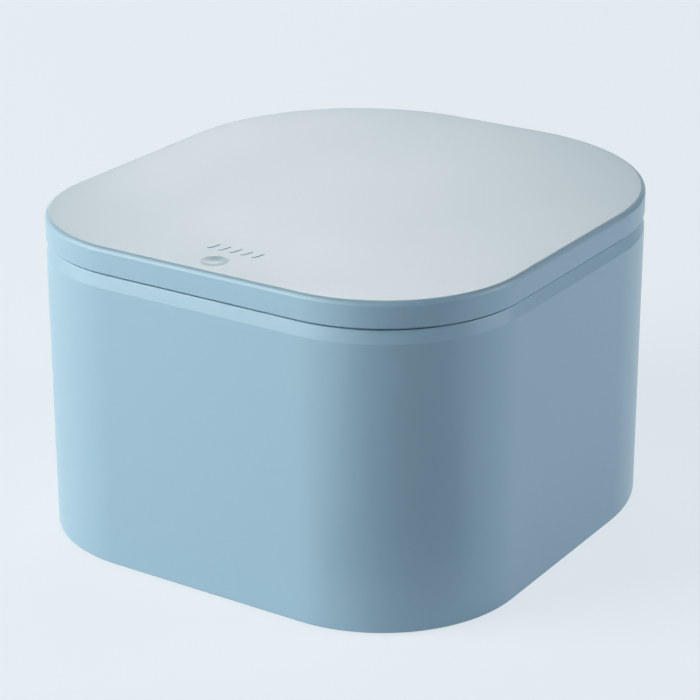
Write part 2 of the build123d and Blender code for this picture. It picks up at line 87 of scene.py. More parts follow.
# Drawn here and not in the solids: the lid's very low crown, the soft rim of the dimple, which is a plain
# hollow there, and the press marks.
CROWN, CROWN_WIDTH, CROWN_STEPS = 0.12, 16.0, 8
DIMPLE = (0.0, -73.3)
DIMPLE_RADIUS, DIMPLE_DEPTH = 4.5, 0.55
DIMPLE_SPOKES, DIMPLE_STEPS = 72, 14
PRESS_MARKS, PRESS_MARK_Y, PRESS_MARK_PITCH = 5, -63.4, 3.7
PRESS_MARK_LENGTH, PRESS_MARK_WIDTH, PRESS_MARK_LEAN = 4.2, 1.3, 12.0
PRESS_MARK_RISE, PRESS_MARK_ROUND, PRESS_MARK_SUNK = 0.14, 0.12, 0.4
PRESS_MARK_STEPS = 24

LID_BOSSES = [(55.0, -52.0), (-55.0, -52.0), (55.0, -4.0), (-55.0, -4.0), (45.0, 48.0), (-45.0, 48.0)]
BOSS_RADIUS, BOSS_SUNK = 2.5, 1.0
PILOT_RADIUS, PILOT_SUNK, PILOT_SIDES = 1.13, 0.9, 24

HINGE_FROM_REAR, HINGE_ABOVE_SEAM, LATCH_FROM_FRONT = 5.0, 1.7, 7.3
HINGE_Y, HINGE_Z = DEPTH / 2 - HINGE_FROM_REAR, SEAM_Z + HINGE_ABOVE_SEAM
LATCH_Y = LATCH_FROM_FRONT - DEPTH / 2

# How finely rounds are drawn, and how far a cutting tool reaches past what it cuts.
CORNER_STEPS, STRAIGHT_STEPS, TOP_ROUND_STEPS = 36, 4, 3
OVERSHOOT = 1.0


# ---- Small helpers -------------------------------------------------------------------------------------
def colour(code):
    """An sRGB hex colour as linear values, with full alpha."""
    parts = [int(code[i : i + 2], 16) / 255 for i in (1, 3, 5)]
    linear = [c / 12.92 if c <= 0.04045 else ((c + 0.055) / 1.055) ** 2.4 for c in parts]
    return (*linear, 1.0)


def add(tree, kind, links=None, **settings):
    """Adds a node. Settings are its properties; links give its sockets a value or another node's output."""
    made = tree.nodes.new(kind)
    for key, value in settings.items():
        setattr(made, key, value)
    for key, value in (links or {}).items():
        socket = made.inputs[key]
        if isinstance(value, bpy.types.NodeSocket):
            tree.links.new(value, socket)
        else:
            socket.default_value = value
    return made


def metres(*place):
    """A place in millimetres as one in metres."""
    return tuple(value * MM for value in place)


def link_to_scene(name, data):
    """A new object for a mesh, curve, camera or lamp, in the scene."""
    made = bpy.data.objects.new(name, data)
    bpy.context.scene.collection.objects.link(made)
    return made


def as_object(name, solid):
    """A new object from a bmesh, which is used up."""
    mesh = bpy.data.meshes.new(name)
    solid.to_mesh(mesh)
    solid.free()
    return link_to_scene(name, mesh)


def settle(piece, body, node):
    """Sets a finished piece on its body, in place of its node."""
    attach(piece, body)
    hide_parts(node)


# ---- Plans, profiles and the solids made from them -------------------------------------------------------
def arc(centre, radius, start, end, steps):
    """Points on an arc, from one angle to another in degrees."""
    turns = [math.radians(start + (end - start) * i / steps) for i in range(steps + 1)]
    return [(centre[0] + radius * math.cos(a), centre[1] + radius * math.sin(a)) for a in turns]


def circle(x, y, radius, steps=48):
    """Points round a circle."""
    turns = [2 * math.pi * i / steps for i in range(steps)]
    return [(x + radius * math.cos(a), y + radius * math.sin(a)) for a in turns]


def outline(inset):
    """Points of the bin's plan, drawn in by inset and always in the same number."""
    side, end = WIDTH / 2, DEPTH / 2
    corners = [
        (side - FRONT_CORNER, FRONT_CORNER - end, FRONT_CORNER, -90),
        (side - REAR_CORNER, end - REAR_CORNER, REAR_CORNER, 0),
        (REAR_CORNER - side, end - REAR_CORNER, REAR_CORNER, 90),
        (FRONT_CORNER - side, FRONT_CORNER - end, FRONT_CORNER, 180),
    ]
    arcs = [arc((x, y), radius - inset, a, a + 90, CORNER_STEPS) for x, y, radius, a in corners]
    points = []
    for this, following in zip(arcs, arcs[1:] + arcs[:1]):
        points += this
        (x0, y0), (x1, y1) = this[-1], following[0]
        for k in range(1, STRAIGHT_STEPS):
            t = k / STRAIGHT_STEPS
            points.append((x0 + (x1 - x0) * t, y0 + (y1 - y0) * t))
    return points


def close_rings(solid, rings):
    """Joins rings of as many points each by quads, caps the first and the last, and turns faces outwards."""
    count = len(rings[0])
    for low, high in zip(rings, rings[1:]):
        for i in range(count):
            j = (i + 1) % count
            solid.faces.new((low[i], low[j], high[j], high[i]))
    solid.faces.new(list(reversed(rings[0])))
    solid.faces.new(rings[-1])
    bmesh.ops.recalc_face_normals(solid, faces=solid.faces)


def lofted(name, profile):
    """A closed shell of the bin's plan through a profile of (inset, z), with a flat cap at each end."""
    shell = bmesh.new()
    rings = [[shell.verts.new(metres(x, y, z)) for x, y in outline(inset)] for inset, z in profile]
    close_rings(shell, rings)
    return as_object(name, shell)


def prism(points, z0, z1, rounding=0.0):
    """A closed solid over a convex plan, its top edge rounded where a radius is given, as a bmesh."""
    levels = [(0.0, z0)]
    if rounding:
        for i in range(TOP_ROUND_STEPS + 1):
            a = math.radians(90 * i / TOP_ROUND_STEPS)
            levels.append((rounding * (1 - math.cos(a)), z1 - rounding + rounding * math.sin(a)))
    else:
        levels.append((0.0, z1))
    solid = bmesh.new()
    centre = Vector((sum(p[0] for p in points), sum(p[1] for p in points))) / len(points)
    reach = max((Vector(p) - centre).length for p in points)
    rings = []
    for drawn_in, z in levels:
        scale = 1 - drawn_in / reach
        plan = [(centre + (Vector(p) - centre) * scale) * MM for p in points]
        rings.append([solid.verts.new((*place, z * MM)) for place in plan])
    close_rings(solid, rings)
    return solid


def cut(piece, name, tool, operation="DIFFERENCE"):
    """Cuts a tool, given as a bmesh, from a piece, or joins it on."""
    knife = as_object(name, tool)
    change = piece.modifiers.new("cut", "BOOLEAN")
    change.operation = operation
    change.solver = "EXACT"
    change.object = knife
    graph = bpy.context.evaluated_depsgraph_get()
    made = bpy.data.meshes.new_from_object(piece.evaluated_get(graph))
    piece.modifiers.remove(change)
    old = piece.data
    piece.data = made
    bpy.data.meshes.remove(old)
    bpy.data.objects.remove(knife)


# ---- Finish of the moulded pieces --------------------------------------------------------------------------
# Angles in degrees: edges sharper than these stay sharp in the shading of a piece made here, of a copied
# one and of one that a tree has grown.
SHARP, SHARP_COPY, SHARP_GROWN = 32.0, 40.0, 35.0
FLAT_FACES_LEAD = 80

# A copied solid's points closer than the weld are joined, and its faces flatter than the angle are one.
WELD, FLAT_BELOW = 0.002, 0.4
# Its edges sharper than the first angle are eased. Triangles that meet at more than the second have folded
# over, and the edges within reach of them stay sharp.
EASED_ABOVE, FOLDED, CROWDED_REACH = 38.0, 150.0, 0.8
EASE_TRIES, EASE_SEGMENTS = 8, 2


def finish_moulding(piece, material, body, node, sharp):
    """Smooth shading with its sharp edges kept and big faces leading the normals, then finish and place."""
    piece.data.shade_smooth()
    piece.data.set_sharp_from_angle(angle=math.radians(sharp))
    lead = piece.modifiers.new("flat faces lead", "WEIGHTED_NORMAL")
    lead.keep_sharp = True
    lead.weight = FLAT_FACES_LEAD
    piece.data.materials.clear()
    piece.data.materials.append(material)
    settle(piece, body, node)


def folds(solid):
    """Places where two triangles of a mesh fold back onto each other."""
    flat = solid.copy()
    bmesh.ops.triangulate(flat, faces=flat.faces)
    places = []
    for edge in flat.edges:
        if len(edge.link_faces) == 2 and edge.calc_face_angle(0.0) > math.radians(FOLDED):
            places += [v.co.copy() for face in edge.link_faces for v in face.verts]
    flat.free()
    return places


def eased(solid, width):
    """The solid with its sharp edges rounded off, apart from those beside a step too small for it."""
    crowded = []
    for _ in range(EASE_TRIES):
        rounded = solid.copy()
        tight = KDTree(len(crowded))
        for i, place in enumerate(crowded):
            tight.insert(place, i)
        tight.balance()
        edges = [
            edge
            for edge in rounded.edges
            if edge.is_manifold
            and edge.calc_face_angle(0.0) > math.radians(EASED_ABOVE)
            and not any(tight.find_range(v.co, CROWDED_REACH * MM) for v in edge.verts)
        ]
        bmesh.ops.bevel(
            rounded,
            geom=edges,
            offset=width * MM,
            offset_type="OFFSET",
            segments=EASE_SEGMENTS,
            profile=0.5,
            affect="EDGES",
            clamp_overlap=False,
        )
        found = folds(rounded)
        if not found:
            return rounded
        crowded += found
        rounded.free()
    return solid.copy()


def moulded(node, name, body, material, edge):
    """A copy of a node's mesh with its faces joined up and its edges eased, as a mould leaves them."""
    solid = bmesh.new()
    solid.from_mesh(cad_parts[node].data)
    bmesh.ops.remove_doubles(solid, verts=solid.verts, dist=WELD * MM)
    bmesh.ops.dissolve_limit(
        solid, angle_limit=math.radians(FLAT_BELOW), verts=solid.verts, edges=solid.edges
    )
    rounded = eased(solid, edge)
    solid.free()
    for face in rounded.faces:
        face.material_index = 0
    finish_moulding(as_object(name, rounded), material, body, node, SHARP_COPY)


# ---- Materials ---------------------------------------------------------------------------------------------
# The pigment drifts over this many millimetres, and the gloss goes a little up and down with it, between
# the noise's usual lowest and highest values.
PIGMENT_DRIFT = 1000 / 18
DRIFT_LOW, DRIFT_HIGH = 0.3, 0.7
PLASTIC_GLOSS_SPREAD = 0.02
METAL_GLOSS_BELOW, METAL_GLOSS_ABOVE = 0.06, 0.08


def new_material(name):
    """A material whose node tree is still empty, and that tree."""
    made = bpy.data.materials.new(name)
    made.use_nodes = True
    made.node_tree.nodes.clear()
    return made, made.node_tree


def plastic(name, base, deep, roughness, grain_mm, grain_height, ior=1.49):
    """Moulded plastic: a faint drift of colour from the pigment, a fine mould grain and uneven gloss."""
    made, tree = new_material(name)
    place = add(tree, "ShaderNodeTexCoord").outputs["Object"]
    drift = add(
        tree,
        "ShaderNodeTexNoise",
        {"Vector": place, "Scale": 1 / (PIGMENT_DRIFT * MM), "Detail": 2.0},
    ).outputs["Fac"]
    tint = add(
        tree, "ShaderNodeMix", {0: drift, 6: colour(base), 7: colour(deep)}, data_type="RGBA"
    )
    grain = add(
        tree, "ShaderNodeTexNoise", {"Vector": place, "Scale": 1 / (grain_mm * MM), "Detail": 3.0}
    )
    gloss = add(
        tree,
        "ShaderNodeMapRange",
        {
            "Value": drift,
            "From Min": DRIFT_LOW,
            "From Max": DRIFT_HIGH,
            "To Min": roughness - PLASTIC_GLOSS_SPREAD,
            "To Max": roughness + PLASTIC_GLOSS_SPREAD,
        },
    )
    bump = add(
        tree,
        "ShaderNodeBump",
        {"Height": grain.outputs["Fac"], "Strength": 1.0, "Distance": grain_height * MM},
    )
    surface = add(
        tree,
        "ShaderNodeBsdfPrincipled",
        {
            "Base Color": tint.outputs[2],
            "Roughness": gloss.outputs["Result"],
            "Normal": bump.outputs["Normal"],
            "IOR": ior,
        },
    )
    add(tree, "ShaderNodeOutputMaterial", {"Surface": surface.outputs["BSDF"]})
    return made


def metal(name, base, roughness, streak_mm, streak_height):
    """Steel with fine streaks left by drawing or plating."""
    made, tree = new_material(name)
    place = add(tree, "ShaderNodeTexCoord").outputs["Object"]
    streaks = add(
        tree, "ShaderNodeTexNoise", {"Vector": place, "Scale": 1 / (streak_mm * MM), "Detail": 4.0}
    ).outputs["Fac"]
    gloss = add(
        tree,
        "ShaderNodeMapRange",
        {
            "Value": streaks,
            "To Min": roughness - METAL_GLOSS_BELOW,
            "To Max": roughness + METAL_GLOSS_ABOVE,
        },
    )
    bump = add(tree, "ShaderNodeBump", {"Height": streaks, "Distance": streak_height * MM})
    surface = add(
        tree,
        "ShaderNodeBsdfPrincipled",
        {
            "Base Color": colour(base),
            "Metallic": 1.0,
            "Roughness": gloss.outputs["Result"],
            "Normal": bump.outputs["Normal"],
        },
    )
    add(tree, "ShaderNodeOutputMaterial", {"Surface": surface.outputs["BSDF"]})
    return made


# Satin polypropylene, pigmented pale blue: soft broad highlights on a very faint mould grain.
satin_polypropylene = plastic("satin_polypropylene", "#8AABC0", "#87A8BE", 0.33, 0.9, 0.012)
# The same plastic from a spark-eroded mould: duller, with a grain that can just be seen close up.
grained_polypropylene = plastic("grained_polypropylene", "#87A7BB", "#83A3B8", 0.52, 0.6, 0.03)
# Acetal, natural white: waxy and smooth, a little glossier than the shells.
natural_acetal = plastic("natural_acetal", "#E9E8E1", "#E4E3DB", 0.30, 1.2, 0.006, ior=1.48)
# Thermoplastic rubber, dark grey: dull, with a dusty soft grain.
soft_rubber = plastic("soft_rubber", "#4A4F54", "#44484D", 0.78, 0.5, 0.04, ior=1.5)
# Hard-drawn spring wire: bright, with drawing marks too fine to see one by one.
drawn_spring_steel = metal("drawn_spring_steel", "#C9CACC", 0.28, 0.4, 0.004)
# Zinc plated screws: greyer and a little cloudy.
zinc_plated_steel = metal("zinc_plated_steel", "#BFC4C9", 0.36, 0.7, 0.006)


# ---- Geometry Nodes: wound wire, bent strip, turned buttons and screws -------------------------------------
WIRE_SIDES, BUTTON_SIDES, SCREW_SIDES = 14, 64, 40
STRIP_CORNER, STRIP_CORNER_STEPS = 0.12, 3
SLOT_LENGTH = 6.0
THREAD_STEPS, CREST_SIDES, CREST_RADIUS = 28, 4, 0.22
# A rounded corner of a path starts at most this share of a side away from it.
MOST_OF_SIDE = 0.49


def new_tree(name, sizes, places=False):
    """A tree with a geometry input, one float input for each named size, and a geometry output."""
    tree = bpy.data.node_groups.new(name, "GeometryNodeTree")
    tree.interface.new_socket("Geometry", in_out="INPUT", socket_type="NodeSocketGeometry")
    if places:
        tree.interface.new_socket("Places", in_out="INPUT", socket_type="NodeSocketObject")
    for size in sizes:
        tree.interface.new_socket(size, in_out="INPUT", socket_type="NodeSocketFloat")
    tree.interface.new_socket("Geometry", in_out="OUTPUT", socket_type="NodeSocketGeometry")
    return tree


def close_tree(tree, geometry, material):
    """Ends a tree: real geometry, smooth faces with sharp edges kept, and the material on it."""
    bend = add(tree, "GeometryNodeInputMeshEdgeAngle")
    gentle = add(
        tree,
        "FunctionNodeCompare",
        {0: bend.outputs["Unsigned Angle"], 1: math.radians(SHARP_GROWN)},
        operation="LESS_THAN",
    )
    real = add(tree, "GeometryNodeRealizeInstances", {"Geometry": geometry})
    edges = add(
        tree,
        "GeometryNodeSetShadeSmooth",
        {"Geometry": real.outputs["Geometry"], "Shade Smooth": gentle.outputs["Result"]},
        domain="EDGE",
    )
    faces = add(tree, "GeometryNodeSetShadeSmooth", {"Geometry": edges.outputs["Geometry"]})
    finish = add(
        tree, "GeometryNodeSetMaterial", {"Geometry": faces.outputs["Geometry"], "Material": material}
    )
    add(tree, "NodeGroupOutput", {"Geometry": finish.outputs["Geometry"]})


def grow(name, start, tree, sizes, places=None):
    """Runs a tree with sizes in millimetres on an object's data, and keeps the result as a plain mesh."""
    seed = link_to_scene(name + "_seed", start)
    change = seed.modifiers.new("grow", "NODES")
    change.node_group = tree
    for item in tree.interface.items_tree:
        if item.in_out == "INPUT" and item.name in sizes:
            change[item.identifier] = sizes[item.name] * MM
        if item.in_out == "INPUT" and item.name == "Places":
            change[item.identifier] = places
    seed.update_tag()
    graph = bpy.context.evaluated_depsgraph_get()
    graph.update()
    mesh = bpy.data.meshes.new_from_object(seed.evaluated_get(graph))
    mesh.name = name
    seed.modifiers.remove(change)
    bpy.data.objects.remove(seed)
    if places:
        bpy.data.objects.remove(places)
    return link_to_scene(name, mesh)


def wire_tree(material):
    """A round wire along the input curve, closed at both ends."""
    tree = new_tree("wound_wire", ["Wire radius"])
    entry = add(tree, "NodeGroupInput").outputs
    section = add(
        tree,
        "GeometryNodeCurvePrimitiveCircle",
        {"Resolution": WIRE_SIDES, "Radius": entry["Wire radius"]},
    )
    wire = add(
        tree,
        "GeometryNodeCurveToMesh",
        {"Curve": entry["Geometry"], "Profile Curve": section.outputs["Curve"], "Fill Caps": True},
    )
    close_tree(tree, wire.outputs["Mesh"], material)
    return tree


def strip_tree(material):
    """A flat strip along the input curve, its width across the bends."""
    tree = new_tree("bent_strip", ["Strip width", "Strip thickness"])
    entry = add(tree, "NodeGroupInput").outputs
    across = add(
        tree,
        "GeometryNodeSetCurveNormal",
        {"Curve": entry["Geometry"], "Normal": (0, 1, 0)},
        mode="FREE",
    )
    section = add(
        tree,
        "GeometryNodeCurvePrimitiveQuadrilateral",
        {"Width": entry["Strip width"], "Height": entry["Strip thickness"]},
    )
    rounded = add(
        tree,
        "GeometryNodeFilletCurve",
        {
            "Curve": section.outputs["Curve"],
            "Count": STRIP_CORNER_STEPS,
            "Radius": STRIP_CORNER * MM,
            "Limit Radius": True,
        },
        mode="POLY",
    )
    strip = add(
        tree,
        "GeometryNodeCurveToMesh",
        {
            "Curve": across.outputs["Curve"],
            "Profile Curve": rounded.outputs["Curve"],
            "Fill Caps": True,
        },
    )
    close_tree(tree, strip.outputs["Mesh"], material)
    return tree


def turned(tree, entry, sides):
    """The solid turned from the input curve, an upright line whose radius at each point is the solid's."""
    section = add(tree, "GeometryNodeCurvePrimitiveCircle", {"Resolution": sides, "Radius": 1.0})
    radius = add(tree, "GeometryNodeInputRadius")
    return add(
        tree,
        "GeometryNodeCurveToMesh",
        {
            "Curve": entry["Geometry"],
            "Profile Curve": section.outputs["Curve"],
            "Scale": radius.outputs["Radius"],
            "Fill Caps": True,
        },
    ).outputs["Mesh"]


def placed(tree, entry, mesh, turn=(0.0, 0.0, 0.0)):
    """The mesh at every vertex of the object in Places, turned about its own seat."""
    spots = add(tree, "GeometryNodeObjectInfo", {"Object": entry["Places"]})
    return add(
        tree,
        "GeometryNodeInstanceOnPoints",
        {"Points": spots.outputs["Geometry"], "Instance": mesh, "Rotation": turn},
    ).outputs["Instances"]


def button_tree(material):
    """Turned buttons, one at each place."""
    tree = new_tree("turned_buttons", [], places=True)
    entry = add(tree, "NodeGroupInput").outputs
    close_tree(tree, placed(tree, entry, turned(tree, entry, BUTTON_SIDES)), material)
    return tree


def slotted_blank(tree, entry):
    """The turned blank of a screw with a slot cut across its head."""
    blank = turned(tree, entry, SCREW_SIDES)
    size = add(
        tree,
        "ShaderNodeCombineXYZ",
        {"X": SLOT_LENGTH * MM, "Y": entry["Slot width"], "Z": entry["Slot depth"]},
    )
    place = add(tree, "ShaderNodeCombineXYZ", {"Z": entry["Head top"]})
    bar = add(tree, "GeometryNodeMeshCube", {"Size": size.outputs["Vector"]})
    bar_up = add(
        tree,
        "GeometryNodeTransform",
        {"Geometry": bar.outputs["Mesh"], "Translation": place.outputs["Vector"]},
    )
    return add(
        tree,
        "GeometryNodeMeshBoolean",
        {"Mesh 1": blank, "Mesh 2": bar_up.outputs["Geometry"]},
        operation="DIFFERENCE",
    ).outputs["Mesh"]


def wound_thread(tree, entry):
    """The thread of a screw, a four-sided crest wound on its shank."""
    turns = add(
        tree, "ShaderNodeMath", {0: entry["Thread length"], 1: entry["Thread pitch"]}, operation="DIVIDE"
    )
    winding = add(
        tree,
        "GeometryNodeCurveSpiral",
        {
            "Resolution": THREAD_STEPS,
            "Rotations": turns.outputs["Value"],
            "Start Radius": entry["Shank radius"],
            "End Radius": entry["Shank radius"],
            "Height": entry["Thread length"],
        },
    )
    start = add(tree, "ShaderNodeCombineXYZ", {"Z": entry["Thread start"]})
    up = add(
        tree,
        "GeometryNodeTransform",
        {"Geometry": winding.outputs["Curve"], "Translation": start.outputs["Vector"]},
    )
    crest = add(
        tree,
        "GeometryNodeCurvePrimitiveCircle",
        {"Resolution": CREST_SIDES, "Radius": CREST_RADIUS * MM},
    )
    return add(
        tree,
        "GeometryNodeCurveToMesh",
        {
            "Curve": up.outputs["Geometry"],
            "Profile Curve": crest.outputs["Curve"],
            "Fill Caps": True,
        },
    ).outputs["Mesh"]


def screw_tree(material, turn):
    """Screws, one at each place: a turned blank, a slot cut in its head and a thread on its shank."""
    tree = new_tree("slotted_screws", list(SCREW_SIZES), places=True)
    entry = add(tree, "NodeGroupInput").outputs
    slotted = slotted_blank(tree, entry)
    thread = wound_thread(tree, entry)
    whole = add(tree, "GeometryNodeJoinGeometry")
    tree.links.new(slotted, whole.inputs["Geometry"])
    tree.links.new(thread, whole.inputs["Geometry"])
    close_tree(tree, placed(tree, entry, whole.outputs["Geometry"], turn), material)
    return tree


def line_curve(name, points, radii=()):
    """A curve with no thickness through points, with a radius at each point where given."""
    curve = bpy.data.curves.new(name, "CURVE")
    curve.dimensions = "3D"
    spline = curve.splines.new("POLY")
    spline.points.add(len(points) - 1)
    for place, point in zip(spline.points, points):
        place.co = (*metres(*point), 1)
    for place, radius in zip(spline.points, radii):
        place.radius = radius * MM
    return curve


def places_object(name, points):
    """An object with a vertex at each place, for the trees that set a mesh at every one."""
    mesh = bpy.data.meshes.new(name)
    mesh.from_pydata([metres(*point) for point in points], [], [])
    return link_to_scene(name, mesh)


def rounded_path(points, radius, steps=5):
    """A line through points whose corners are rounded to a radius, or as far as their sides allow."""
    path = [Vector(points[0])]
    for before, corner, after in zip(points, points[1:], points[2:]):
        back, on = Vector(before) - Vector(corner), Vector(after) - Vector(corner)
        half = back.angle(on) / 2
        reach = min(radius / math.tan(half), back.length * MOST_OF_SIDE, on.length * MOST_OF_SIDE)
        first = Vector(corner) + back.normalized() * reach
        last = Vector(corner) + on.normalized() * reach
        for i in range(steps + 1):
            t = i / steps
            path.append((1 - t) ** 2 * first + 2 * t * (1 - t) * Vector(corner) + t**2 * last)
    path.append(Vector(points[-1]))
    return [tuple(place) for place in path]


# ---- Lid shell ---------------------------------------------------------------------------------------------
def dimple_tool():
    """A round pad whose underside swells down softly, so that the finger dimple has no hard rim."""
    tool = bmesh.new()
    low = tool.verts.new(Vector((*DIMPLE, LID_TOP_Z - DIMPLE_DEPTH)) * MM)
    shares = [i / DIMPLE_STEPS for i in range(1, DIMPLE_STEPS + 1)]
    levels = [(share, LID_TOP_Z - DIMPLE_DEPTH * (1 - share**2) ** 1.5) for share in shares]
    rings = []
    for share, z in levels + [(1.0, LID_TOP_Z + OVERSHOOT)]:
        ring = circle(*DIMPLE, DIMPLE_RADIUS * share, DIMPLE_SPOKES)
        rings.append([tool.verts.new(Vector((x, y, z)) * MM) for x, y in ring])
    for k in range(DIMPLE_SPOKES):
        after = (k + 1) % DIMPLE_SPOKES
        tool.faces.new((low, rings[0][k], rings[0][after]))
        for inner, outer in zip(rings, rings[1:]):
            tool.faces.new((inner[k], outer[k], outer[after], inner[after]))
    tool.faces.new(rings[-1])
    bmesh.ops.recalc_face_normals(tool, faces=tool.faces)
    return tool


def press_mark(x):
    """Plan of a slanted stroke with round ends."""
    half = PRESS_MARK_WIDTH / 2
    run = PRESS_MARK_LENGTH / 2 - half
    lean = math.tan(math.radians(PRESS_MARK_LEAN))
    ends = arc((0, run), half, 0, 180, PRESS_MARK_STEPS) + arc((0, -run), half, 180, 360, PRESS_MARK_STEPS)
    return [(x + px + py * lean, PRESS_MARK_Y + py) for px, py in ends]


def make_lid_shell():
    """The lid: a very low crown, a rounded edge, a skirt, the dimple, the marks and the screw bosses."""
    crown = []
    for i in range(CROWN_STEPS + 1):
        inset = CROWN_WIDTH - (CROWN_WIDTH - LID_TOP_ROUND) * i / CROWN_STEPS
        share = (CROWN_WIDTH - inset) / CROWN_WIDTH
        crown.append((inset, LID_TOP_Z - CROWN * share**2))
    edge_z = crown[-1][1]
    profile = crown + arc((LID_TOP_ROUND, edge_z - LID_TOP_ROUND), LID_TOP_ROUND, 90, 180, steps=8)[1:]
    profile += arc((LID_LOW_ROUND, SEAM_Z + LID_LOW_ROUND), LID_LOW_ROUND, 180, 270, steps=4)
    profile += [(SKIRT - SKIRT_EASE, SEAM_Z), (SKIRT, SEAM_Z + SKIRT_EASE)]
    profile += [(SKIRT, PLATE_Z - PLATE_EASE), (SKIRT + PLATE_EASE, PLATE_Z), (CROWN_WIDTH, PLATE_Z)]
    lid = lofted("lid_shell_moulding", profile)
    cut(lid, "dimple_tool", dimple_tool())
    for i in range(PRESS_MARKS):
        plan = press_mark((i - (PRESS_MARKS - 1) / 2) * PRESS_MARK_PITCH)
        low, high = LID_TOP_Z - PRESS_MARK_SUNK, LID_TOP_Z + PRESS_MARK_RISE
        cut(lid, "stroke_tool", prism(plan, low, high, PRESS_MARK_ROUND), "UNION")
    for x, y in LID_BOSSES:
        boss = prism(circle(x, y, BOSS_RADIUS), LINER_TOP_Z, LID_TOP_Z - BOSS_SUNK)
        cut(lid, "boss_tool", boss, "UNION")
        pilot = circle(x, y, PILOT_RADIUS, PILOT_SIDES)
        cut(lid, "hole_tool", prism(pilot, LINER_TOP_Z - OVERSHOOT, LID_TOP_Z - PILOT_SUNK))
    finish_moulding(lid, satin_polypropylene, "lid", "lid_shell", SHARP)


# ---- Bucket ------------------------------------------------------------------------------------------------
def notch_tool():
    """A bar through the rear wall, with the section of the notch in which the lid's hinge swings."""
    centre = (NOTCH_HALF - NOTCH_ROUND, NOTCH_Z + NOTCH_ROUND)
    side = [(NOTCH_HALF, RIM_Z + NOTCH_ABOVE_RIM)] + arc(centre, NOTCH_ROUND, 0, -90, steps=8)
    bar = prism(side + [(-x, z) for x, z in reversed(side)], -NOTCH_FAR_Y, -NOTCH_NEAR_Y)
    for v in bar.verts:
        v.co = Vector((v.co.x, -v.co.z, v.co.y))
    bmesh.ops.recalc_face_normals(bar, faces=bar.faces)
    return bar


def make_bin_body():
    """The bucket: straight walls, a band that leans in below the seam, the frame's ledge and the notch."""
    lean = math.degrees(math.atan2(BAND_INSET, RIM_Z - CREASE_Z))
    crease_z = CREASE_Z - CREASE_ROUND * math.tan(math.radians(lean / 2))
    rim_z = RIM_Z - RIM_ROUND
    floor_z = BASE_Z + FLOOR
    profile = [(BASE_CAP_INSET, BASE_Z), (BASE_ROUND + BASE_RUN, BASE_Z)]
    profile += arc((BASE_ROUND, BASE_Z + BASE_ROUND), BASE_ROUND, 270, 180, steps=6)
    profile += arc((CREASE_ROUND, crease_z), CREASE_ROUND, 180, 180 - lean, steps=3)
    profile += arc((BAND_INSET + RIM_ROUND, rim_z), RIM_ROUND, 180 - lean, 90, steps=4)
    profile += arc((RIM_WALL - RIM_ROUND, rim_z), RIM_ROUND, 90, 0, steps=4)
    profile += [(RIM_WALL, LEDGE_Z), (WALL - LEDGE_EASE, LEDGE_Z), (WALL, LEDGE_Z - LEDGE_EASE)]
    profile += arc((WALL + FLOOR_ROUND, floor_z + FLOOR_ROUND), FLOOR_ROUND, 180, 270, steps=10)
    profile += [(WALL + FLOOR_ROUND + FLOOR_RUN, floor_z)]
    body = lofted("bucket_moulding", profile)
    cut(body, "notch_tool", notch_tool())
    for x, y in PAD_PLACES:
        recess = circle(x, y, PAD_RADIUS + PAD_FIT)
        cut(body, "recess_tool", prism(recess, BASE_Z - OVERSHOOT, BASE_Z + PAD_RECESS))
    finish_moulding(body, satin_polypropylene, "bin", "bin_body", SHARP)


# ---- Springs and bent wire ---------------------------------------------------------------------------------
# The torsion springs, measured from the hinge's axis: where the coil starts and ends beside the middle, the
# angles of its two legs in degrees, points along the foot, the bend in the lifting leg, and its tip.
TORSION_WIRE, TORSION_RADIUS, TORSION_TURNS, TORSION_STEPS = 0.4, 1.65, 6, 26
TORSION_START, TORSION_END = 3.9, 14.6
TORSION_LEG, TORSION_LIFT = -64.0, 130.0
TORSION_FOOT = (8.3, 6.0, 4.0, 2.0, 0.8)
LIFT_BEND, LIFT_BEND_RADIUS = 3.3, 0.8
LIFT_LENGTH, LIFT_TIP_RISE = 10.0, 0.05

# The spring under the latch's fork. The held length at its top stands in a socket.
SPRING_Y, SPRING_LOW, SPRING_HIGH, SPRING_HELD = LATCH_Y + 0.9, 70.2, 76.0, 2.0
SPRING_RADIUS, SPRING_WIRE, SPRING_TURNS, SPRING_STEPS = 1.75, 0.25, 6.5, 28

# The wire follower lies against the latch's back plate, whose face is this far behind the latch's middle.
COVER_FACE = 3.75
FOLLOWER_WIRE, FOLLOWER_BEND, FOLLOWER_PLAY = 0.35, 0.45, 0.1

# Half of the clip's line as (x, z): under the striker's tip, the foot, the belly, the pinch at the striker's
# neck and the flared end.
CLIP_LINE = [(1.5, 81.0), (1.9, 78.4), (3.4, 78.4), (3.4, 82.3), (1.2, 84.6), (3.0, 86.4)]
CLIP_BEND, CLIP_BEND_STEPS = 0.35, 4
CLIP_SIZES = {"Strip width": 3.0, "Strip thickness": 0.4}


def wound_wire(name, path, radius):
    """A length of round spring wire along a path."""
    return grow(name, line_curve(name, path), wire_tree(drawn_spring_steel), {"Wire radius": radius})


